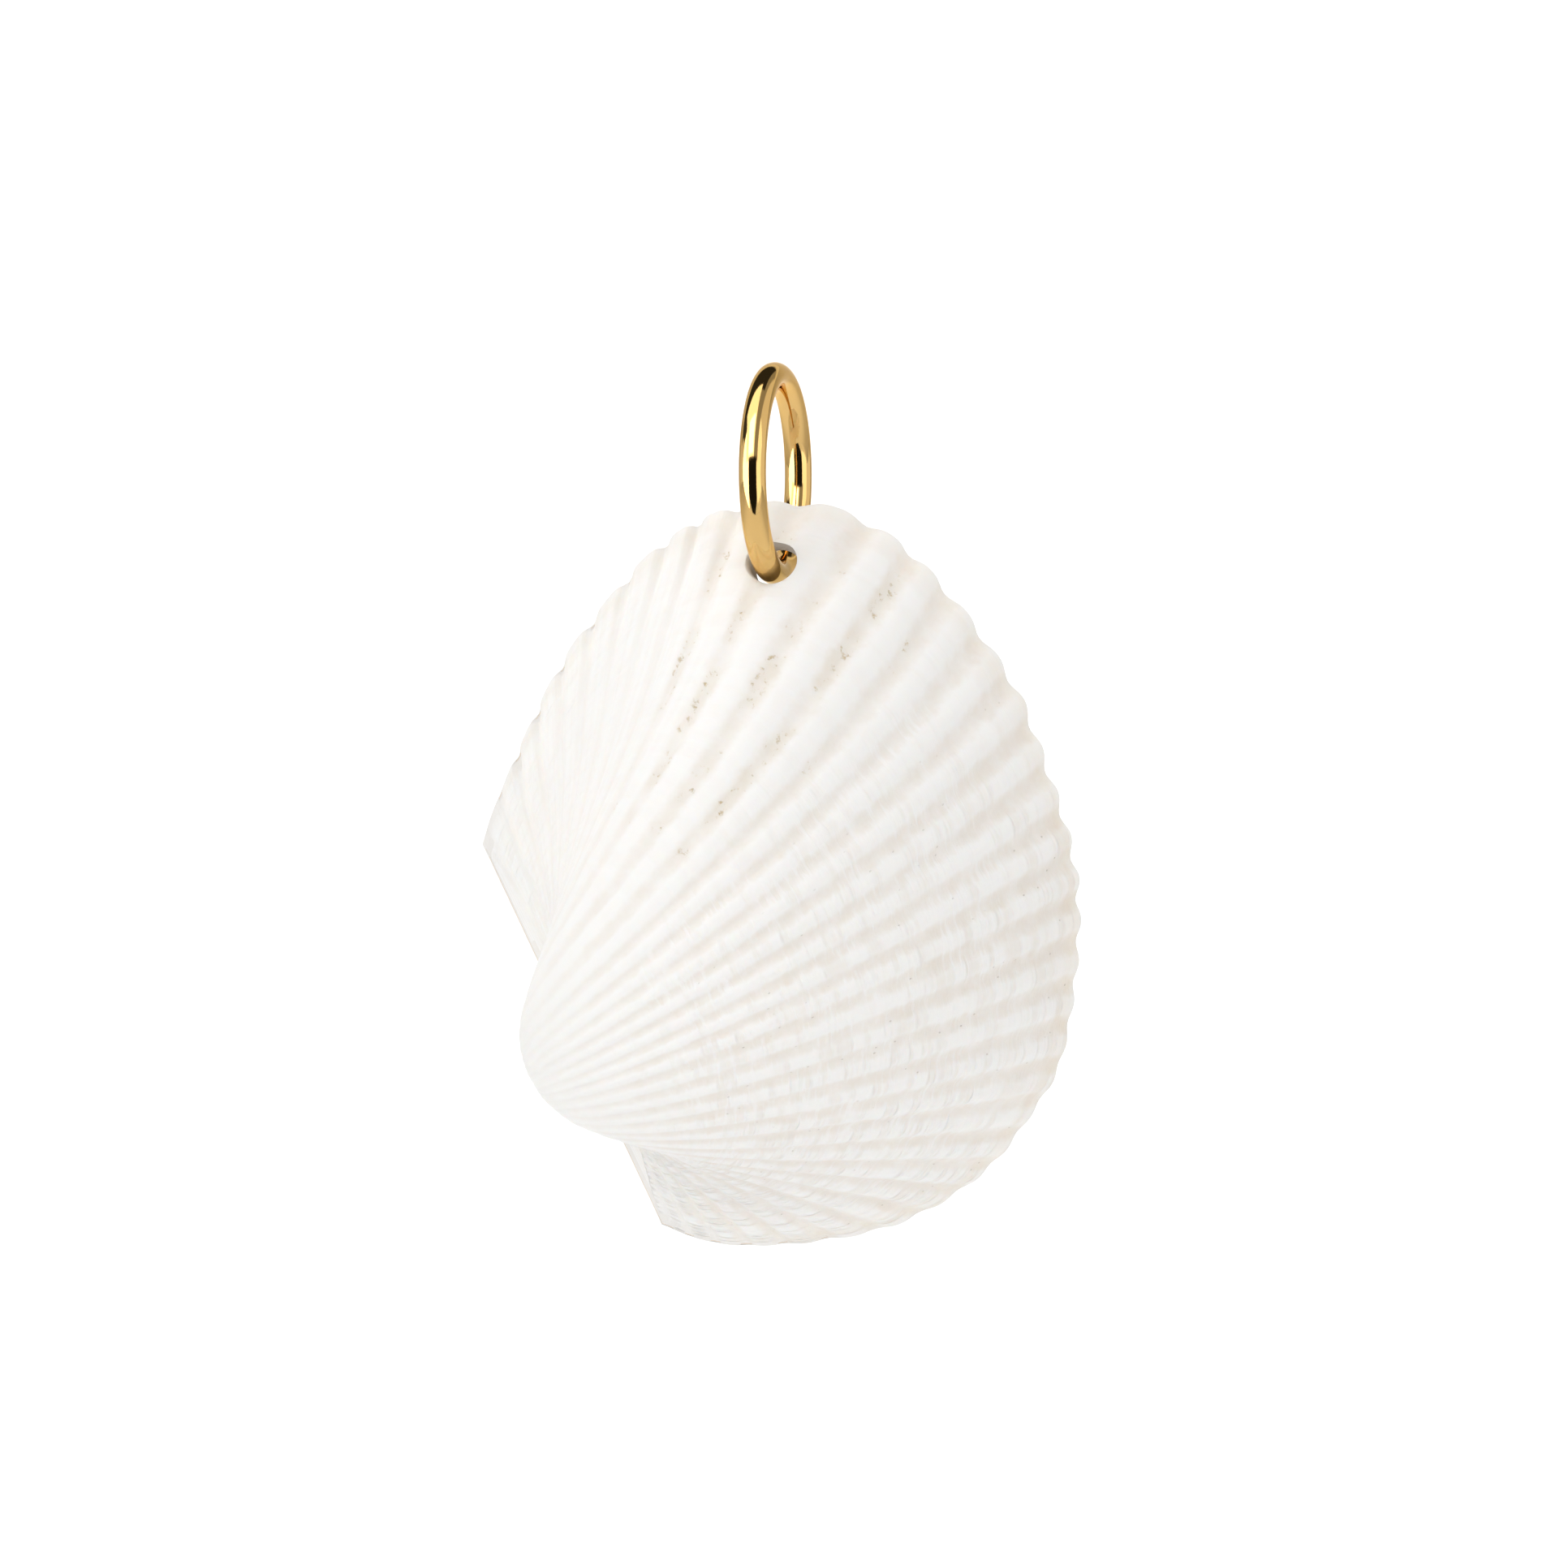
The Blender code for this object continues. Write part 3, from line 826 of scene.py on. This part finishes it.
    matt = 0.50 + 0.12 * cloud + 0.10 * groove
    smooth = 0.32 + 0.10 * cloud - 0.08 * marks
    maker.feed(shader.inputs["Roughness"], maker.mix(within, matt, smooth))

    height = (0.25 + 0.50 * lower) * lines + (0.20 + 0.25 * lower) * fine * (1.0 - flat)
    height = height + 0.60 * striae * flat - 1.4 * gaps + 0.6 * mottle
    height = height + 0.20 * ticks - 0.6 * pits - 0.4 * pores
    height = outside * height + (0.12 + 0.18 * lower) * grain * (1.0 - 0.7 * within)
    height = height + within * (0.8 * striae * between(size, 0.5, 0.95) - 1.0 * marks)
    bump = maker.node("ShaderNodeBump", {}, {"Strength": 1.0, "Distance": valve.line_depth,
                                             "Height": height})
    maker.feed(shader.inputs["Normal"], bump.outputs[0])
    return material


def polished_gold(ring):
    """Polished gold under clear lacquer, softly scuffed, with painted shade: dark gold where it
    lies in the hole against the valve."""
    material, maker, shader = new_material("polished gold", 0.14, metallic=1.0)
    shader.inputs["Specular Tint"].default_value = (*ring.edge_gold, 1.0)
    shader.inputs["Coat Weight"].default_value = 0.35
    shader.inputs["Coat IOR"].default_value = 1.6
    here = maker.node("ShaderNodeTexCoord").outputs["Object"]
    scuffs = maker.noise(here, scale=900.0, detail=4.0, roughness=0.65)
    wear = maker.noise(here, scale=160.0, detail=2.0)
    _, y, z = maker.split(here)
    y_off, z_off = y - HOLE_SHADE[0] * MM, z - HOLE_SHADE[1] * MM
    near, far = (reach * MM for reach in HOLE_SHADE_REACH)
    # Painted shade: dark gold over the part of the wire that lies in the hole
    hole_shade = 0.8 * maker.between(y_off * y_off + z_off * z_off, far * far, near * near)
    colour = maker.tint((*ring.gold, 1.0), (maker.between(wear, 0.35, 0.7), ring.deep_gold),
                        (hole_shade, ring.hole_shade_gold))
    maker.feed(shader.inputs["Base Color"], colour)
    maker.feed(shader.inputs["Roughness"], 0.035 + 0.07 * scuffs)
    bump = maker.node("ShaderNodeBump", {}, {"Strength": 0.2, "Distance": 0.00002,
                                             "Height": scuffs})
    maker.feed(shader.inputs["Normal"], bump.outputs[0])
    return material


# Properties

LENGTH = {"unit": "LENGTH", "subtype": "DISTANCE"}
POWER = {"min": 0.0, "unit": "POWER"}
COLOUR = {"min": 0.0, "max": 1.0, "size": 3, "subtype": "COLOR"}


class PendantValve(bpy.types.PropertyGroup):
    """Sizes and colours of the shell valve."""

    growth: FloatProperty(
        name="Growth", description="Natural log of the size lost for each radian turned",
        default=0.764, min=0.2, max=2.0)
    coil_height: FloatProperty(
        name="Coil Height", description="Height of the coiling line over the edge's plane",
        default=0.0008, **LENGTH)
    lean: FloatProperty(
        name="Lean", description="Lean of the swollen part along the hinge, for its height",
        default=-0.079)
    beak_shift: FloatProperty(
        name="Beak Shift", description="How far the beak moved out past the hinge line",
        default=-0.00012, **LENGTH)
    rib_height: FloatProperty(
        name="Rib Height", description="From groove to crest at the free edge",
        default=0.00036, min=0.0, **LENGTH)
    wall: FloatProperty(
        name="Wall", description="Thickness of the shell",
        default=0.0013, min=0.0003, **LENGTH)
    hinge_plate: FloatProperty(
        name="Hinge Plate", description="Width of the hinge plate under the beak",
        default=0.002, **LENGTH)
    hole: FloatProperty(
        name="Hole", description="Diameter of the drilled hole",
        default=0.00214, min=0.0014, **LENGTH)
    line_depth: FloatProperty(
        name="Line Depth", description="Depth of the fine growth lines",
        default=0.00006, min=0.0, **LENGTH)
    crest_colour: FloatVectorProperty(
        name="Crests", description="Worn white of the ribs",
        default=(0.935, 0.922, 0.90), **COLOUR)
    # Also laid over the lower right as painted warm shade
    groove_and_shade_colour: FloatVectorProperty(
        name="Grooves", description="Warm beige between the ribs",
        default=(0.82, 0.755, 0.67), **COLOUR)
    umbo_colour: FloatVectorProperty(
        name="Umbo", description="Cream of the worn top",
        default=(0.93, 0.912, 0.875), **COLOUR)
    pit_colour: FloatVectorProperty(
        name="Pits", description="Ochre in the pits of the rough grooves",
        default=(0.62, 0.49, 0.28), **COLOUR)
    pore_colour: FloatVectorProperty(
        name="Pores", description="Grey brown of the scattered pores",
        default=(0.42, 0.36, 0.30), **COLOUR)
    # Partly the bare wall's own beige, partly painted shade and a painted gold reflection from
    # the ring
    drilled_and_shade_colour: FloatVectorProperty(
        name="Drilled", description="Beige of the hole's bare wall",
        default=(0.78, 0.57, 0.36), **COLOUR)
    inside_colour: FloatVectorProperty(
        name="Inside", description="Smooth white of the hollow",
        default=(0.90, 0.87, 0.83), **COLOUR)
    scar_colour: FloatVectorProperty(
        name="Scars", description="Duller beige of the muscle scars and the mantle line",
        default=(0.76, 0.70, 0.62), **COLOUR)


class PendantRing(bpy.types.PropertyGroup):
    """Sizes and colours of the jump ring."""

    outer: FloatProperty(
        name="Outer", description="Outside diameter of the ring",
        default=0.0098, min=0.004, **LENGTH)
    wire: FloatProperty(
        name="Wire", description="Diameter of the wire",
        default=0.0012, min=0.0003, **LENGTH)
    gold: FloatVectorProperty(
        name="Gold", description="Colour of the polished metal",
        default=(0.765, 0.49, 0.17), **COLOUR)
    deep_gold: FloatVectorProperty(
        name="Deep Gold", description="Colour where the metal is handled less",
        default=(0.695, 0.43, 0.135), **COLOUR)
    edge_gold: FloatVectorProperty(
        name="Edge Gold", description="Tint of the gold where it is seen edge on",
        default=(0.90, 0.72, 0.42), **COLOUR)
    # Painted shade laid on the wire where it lies in the hole
    hole_shade_gold: FloatVectorProperty(
        name="Hole Shade Gold", description="Dark gold where the wire lies in the hole",
        default=(0.34, 0.20, 0.045), **COLOUR)


class PendantStage(bpy.types.PropertyGroup):
    """Light and floor of the studio."""

    backdrop_colour: FloatVectorProperty(
        name="Backdrop", description="White of the backdrop's bend and wall",
        default=(0.93, 0.93, 0.93), **COLOUR)
    table_colour: FloatVectorProperty(
        name="Table", description="Pale grey of the flat part and of the wall's outskirts",
        default=(0.60, 0.59, 0.58), **COLOUR)
    front: FloatProperty(
        name="Front Light", description="Power of the soft light in front",
        default=0.45, **POWER)
    left: FloatProperty(
        name="Left Light", description="Power of the soft light at the upper left",
        default=0.58, **POWER)
    low: FloatProperty(
        name="Low Light", description="Power of the soft light from below",
        default=0.65, **POWER)
    right: FloatProperty(
        name="Right Light", description="Power of the soft light at the right",
        default=0.78, **POWER)
    wall: FloatProperty(
        name="Wall Light", description="Power of the light on the wall behind",
        default=7.0, **POWER)
    room: FloatProperty(
        name="Room", description="Brightness of the room around the studio",
        default=0.618, min=0.0)
    sheen: FloatProperty(
        name="Sheen", description="Brightness of the room as the polished metal mirrors it",
        default=0.87, min=0.0)
    backing: FloatProperty(
        name="Backing", description="Plain brightness seen past the edge of the backdrop",
        default=0.80, min=0.0)


# The tent as the pendant sees it, in degrees: pitch runs from the camera (0) over the top (90),
# side from left (-90) to right (90). Each patch: pitch range, side range, softness, brightness.
# Polished metal sees the patches with more contrast than they light the shell with.
TENT_PATCHES = [
    ((-45, 62), (-84, -34), 4, 2.1),
    ((-30, 60), (36, 72), 4, 1.4),
    ((15, 140), (14, 38), 5, 0.65),
    ((96, 140), (-66, 26), 3, 0.2),
    ((16, 100), (-50, 8), 4, 1.5),
    ((70, 140), (-66, -54), 3, 0.25),
    ((22, 60), (-32, 0), 5, 2.4),
]
CAMERA_SHADE = ((-54, 14), (-30, 31), 4, 0.12)


def light_tent(stage):
    """The room: a pale tent with a soft box overhead, bright sheets at the sides, dark gaps
    between them, and the dark shape of the camera and its stand. Looked at past the backdrop,
    it is plain."""
    world = bpy.data.worlds.new("light tent")
    world.use_nodes = True
    maker = Maker(world.node_tree)
    x, y, z = maker.split(maker.node("ShaderNodeTexCoord").outputs["Generated"])
    turn = math.radians(CAMERA_TURN)
    right = x * math.cos(turn) + y * math.sin(turn)
    toward = x * math.sin(turn) - y * math.cos(turn)
    pitch = maker.math("ARCTAN2", z, toward) * math.degrees(1.0)
    side = maker.math("ARCSINE", right) * math.degrees(1.0)
    light = 1.0 + 0.05 * right
    for pitches, sides, soft, bright in TENT_PATCHES:
        patch = maker.window(pitch, *pitches, soft) * maker.window(side, *sides, soft)
        light = maker.mix(patch, light, bright)
    (low, high), (left, right_end), soft, bright = CAMERA_SHADE
    narrow = maker.between(pitch, low, 0.4 * low)
    shade = maker.window(pitch, low, high, soft) * maker.window(
        side, left * narrow, right_end * narrow, soft)
    light = maker.mix(shade, light, bright)
    rays = maker.node("ShaderNodeLightPath")
    light = maker.mix(rays.outputs["Is Glossy Ray"], light * stage.room,
                      light * light * stage.sheen)
    light = maker.mix(rays.outputs["Is Camera Ray"], light, stage.backing)
    background = world.node_tree.nodes["Background"]
    background.inputs["Color"].default_value = (1.0, 1.0, 1.0, 1.0)
    maker.feed(background.inputs["Strength"], light)
    return world


def backdrop_mesh():
    """One sheet: floor, a wide bend and the wall behind."""
    profile = [(FLOOR_FRONT, FLOOR)]
    for i in range(BEND_STEPS + 1):
        angle = math.radians(90.0 * i / BEND_STEPS)
        profile.append((WALL - BEND + BEND * math.sin(angle),
                        FLOOR + BEND * (1.0 - math.cos(angle))))
    profile.append((WALL, WALL_TOP))
    bm = bmesh.new()
    left, right = ([bm.verts.new((x, y, z)) for y, z in profile]
                   for x in (-HALF_WIDTH, HALF_WIDTH))
    for i in range(len(profile) - 1):
        bm.faces.new((left[i], right[i], right[i + 1], left[i + 1]))
    sheet = bpy.data.meshes.new("backdrop")
    bm.to_mesh(sheet)
    bm.free()
    sheet.shade_smooth()
    return sheet


def backdrop_paper(stage, aim):
    """Matt paper, white straight behind the pendant and pale grey further out."""
    paper, maker, shader = new_material("backdrop paper", 0.9)
    x, y, z = maker.split(maker.node("ShaderNodeTexCoord").outputs["Object"])
    turn = math.radians(CAMERA_TURN)
    right = (x - aim.x) * math.cos(turn) + (y - aim.y) * math.sin(turn)
    up = z - aim.z
    from_axis = maker.math("SQRT", right * right + up * up)
    paint = maker.tint((*stage.table_colour, 1.0),
                       (maker.between(from_axis, 0.45, 0.14), stage.backdrop_colour))
    maker.feed(shader.inputs["Base Color"], paint)
    return paper


def soft_light(name, power, size, where, target):
    """A rectangle of light that isn't seen itself, turned to its target."""
    lamp = bpy.data.lights.new(name, "AREA")
    lamp.shape = "RECTANGLE"
    lamp.size, lamp.size_y = size
    lamp.energy = power
    holder = show(name, lamp)
    holder.visible_glossy = False
    holder.visible_camera = False
    facing = (target - where).to_track_quat("-Z", "Y").to_matrix().to_4x4()
    holder.matrix_world = Matrix.Translation(where) @ facing


def eye(aim, turn):
    """The camera, level with its aim and straight in front of it."""
    camera = bpy.data.cameras.new("camera")
    camera.sensor_width = SENSOR
    camera.lens = SENSOR * CAMERA_DISTANCE / VIEW_WIDTH
    camera.clip_start = 0.01
    holder = show("camera", camera)
    back = turn @ Vector((0.0, -CAMERA_DISTANCE * MM, 0.0))
    level = Matrix.Rotation(math.radians(90.0), 4, "X")
    holder.matrix_world = Matrix.Translation(aim + back) @ turn @ level
    return holder


# Operators

class PENDANT_OT_valve(bpy.types.Operator):
    """Grow the shell valve, drill its hole and hang it"""

    bl_idname = "pendant.valve"
    bl_label = "Grow Valve"

    def execute(self, context):
        valve = context.scene.pendant_valve
        values = {
            "Growth": valve.growth, "Coil Height": valve.coil_height, "Lean": valve.lean,
            "Beak Shift": valve.beak_shift, "Beak Size": 0.03, "Rib Height": valve.rib_height,
            "Rib Crest": 0.4, "Wall": valve.wall, "Hinge Plate": valve.hinge_plate,
            "Plate Flare": PLATE_FLARE, "Plate Sink": 0.00022, "Cavity Height": 0.0098,
            "Cavity Run": 0.0055, "Hollow X": -0.0025, "Hollow Y": 0.0095,
            "Edge Columns": 370, "Hinge Columns": 60, "Outside Rows": 150, "Inside Rows": 60,
            "Material": worn_shell(valve),
        }
        mesh = grow_mesh("ark_valve", edge_mesh(), valve_tree(), values)
        mesh.transform(hanging(valve))
        thing = show("ark_valve", mesh)
        cutter = drill(valve)
        boolean = thing.modifiers.new("hole", "BOOLEAN")
        boolean.operation = "DIFFERENCE"
        boolean.solver = "EXACT"
        boolean.object = cutter

        # The cut faces land in the valve's first material slot
        graph = context.evaluated_depsgraph_get()
        drilled = bpy.data.meshes.new_from_object(thing.evaluated_get(graph))
        thing.modifiers.clear()
        thing.data = drilled
        bpy.data.objects.remove(cutter, do_unlink=True)
        drilled.set_sharp_from_angle(angle=math.radians(70.0))
        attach(thing, "shell")
        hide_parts("shell")
        return {"FINISHED"}


class PENDANT_OT_teeth(bpy.types.Operator):
    """Set the row of small teeth along the hinge plate"""

    bl_idname = "pendant.teeth"
    bl_label = "Set Hinge Teeth"

    def execute(self, context):
        valve = context.scene.pendant_valve
        values = {"Teeth": 36, "Front": -0.0092, "Back": 0.0066, "Length": 0.0015,
                  "Width": 0.00030, "Height": 0.00040, "Hinge Plate": valve.hinge_plate,
                  "Plate Flare": PLATE_FLARE, "Material": bpy.data.materials["worn shell"]}
        mesh = grow_mesh("hinge_teeth", bpy.data.meshes.new("teeth"), teeth_tree(), values)
        for name, value in (("ribs", (0.0, 0.95)), ("side", (1.0, 1.0)), ("groove", (0.0, 0.0))):
            layer = mesh.uv_layers.get(name) or mesh.uv_layers.new(name=name)
            layer.data.foreach_set("uv", np.tile(value, len(mesh.loops)).astype(np.float32))
        mesh.transform(hanging(valve))
        teeth = show("hinge_teeth", mesh)
        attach(teeth, "shell")
        return {"FINISHED"}


class PENDANT_OT_ring(bpy.types.Operator):
    """Bend the gold wire into the jump ring"""

    bl_idname = "pendant.ring"
    bl_label = "Bend Jump Ring"

    def execute(self, context):
        ring = context.scene.pendant_ring
        radius = 0.5 * (ring.outer - ring.wire)
        values = {"Radius": radius, "Wire": ring.wire, "Gap": 0.00003,
                  "Joint Angle": math.radians(300.0), "Steps": 240, "Wire Steps": 48,
                  "Material": polished_gold(ring)}
        mesh = grow_mesh("gold_jump_ring", bpy.data.meshes.new("wire"), ring_tree(), values)
        upright = Matrix(((0, 0, 1, 0), (1, 0, 0, 0), (0, 1, 0, 0), (0, 0, 0, 1)))
        mesh.transform(Matrix.Translation((0.0, 0.0, ring.wire - 0.5 * ring.outer)) @ upright)
        thing = show("gold_jump_ring", mesh)
        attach(thing, "ring")
        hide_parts("jump_ring")
        return {"FINISHED"}


class PENDANT_OT_stage(bpy.types.Operator):
    """Build the floor and backdrop, the soft lights and the camera"""

    bl_idname = "pendant.stage"
    bl_label = "Build Stage"

    def execute(self, context):
        scene = context.scene
        stage = scene.pendant_stage
        turn = Matrix.Rotation(math.radians(CAMERA_TURN), 4, "Z")
        aim = Vector(CAMERA_AIM) * MM
        around = Matrix.Translation((aim.x, aim.y, 0.0)) @ turn
        sheet = backdrop_mesh()
        sheet.transform(around)
        sheet.materials.append(backdrop_paper(stage, aim))
        show("backdrop", sheet)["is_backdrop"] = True
        for name, (at, size, past) in LIGHTS.items():
            where = around @ (Vector(at) + Vector((0.0, 0.0, aim.z)))
            target = around @ Vector((0.0, past, aim.z))
            soft_light(name + " light", getattr(stage, name), size, where, target)
        scene.world = light_tent(stage)
        scene.view_settings.view_transform = "Standard"
        scene.camera = eye(aim, turn)
        return {"FINISHED"}


class PENDANT_PT_panel(bpy.types.Panel):
    """Pendant settings and makers"""

    bl_idname = "PENDANT_PT_panel"
    bl_label = "Ark Shell Pendant"
    bl_space_type = "VIEW_3D"
    bl_region_type = "UI"
    bl_category = "Pendant"

    def draw(self, context):
        scene = context.scene
        for title, settings, operators in (
            ("Valve", scene.pendant_valve, ("pendant.valve", "pendant.teeth")),
            ("Jump ring", scene.pendant_ring, ("pendant.ring",)),
            ("Stage", scene.pendant_stage, ("pendant.stage",)),
        ):
            box = self.layout.box()
            box.label(text=title)
            for name in settings.__annotations__:
                box.prop(settings, name)
            for operator in operators:
                box.operator(operator)


CLASSES = (PendantValve, PendantRing, PendantStage, PENDANT_OT_valve, PENDANT_OT_teeth,
           PENDANT_OT_ring, PENDANT_OT_stage, PENDANT_PT_panel)


def register():
    for each in CLASSES:
        bpy.utils.register_class(each)
    bpy.types.Scene.pendant_valve = PointerProperty(type=PendantValve)
    bpy.types.Scene.pendant_ring = PointerProperty(type=PendantRing)
    bpy.types.Scene.pendant_stage = PointerProperty(type=PendantStage)


def unregister():
    del bpy.types.Scene.pendant_stage
    del bpy.types.Scene.pendant_ring
    del bpy.types.Scene.pendant_valve
    for each in reversed(CLASSES):
        bpy.utils.unregister_class(each)


def plain(box):
    return [[float(value) for value in corner] for corner in box]


def main():
    register()
    bpy.ops.pendant.valve()
    bpy.ops.pendant.teeth()
    bpy.ops.pendant.ring()
    bpy.ops.pendant.stage()
    {"cad": plain(CAD_BOX), "scene": plain(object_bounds())}


if __name__ == "__main__":
    main()
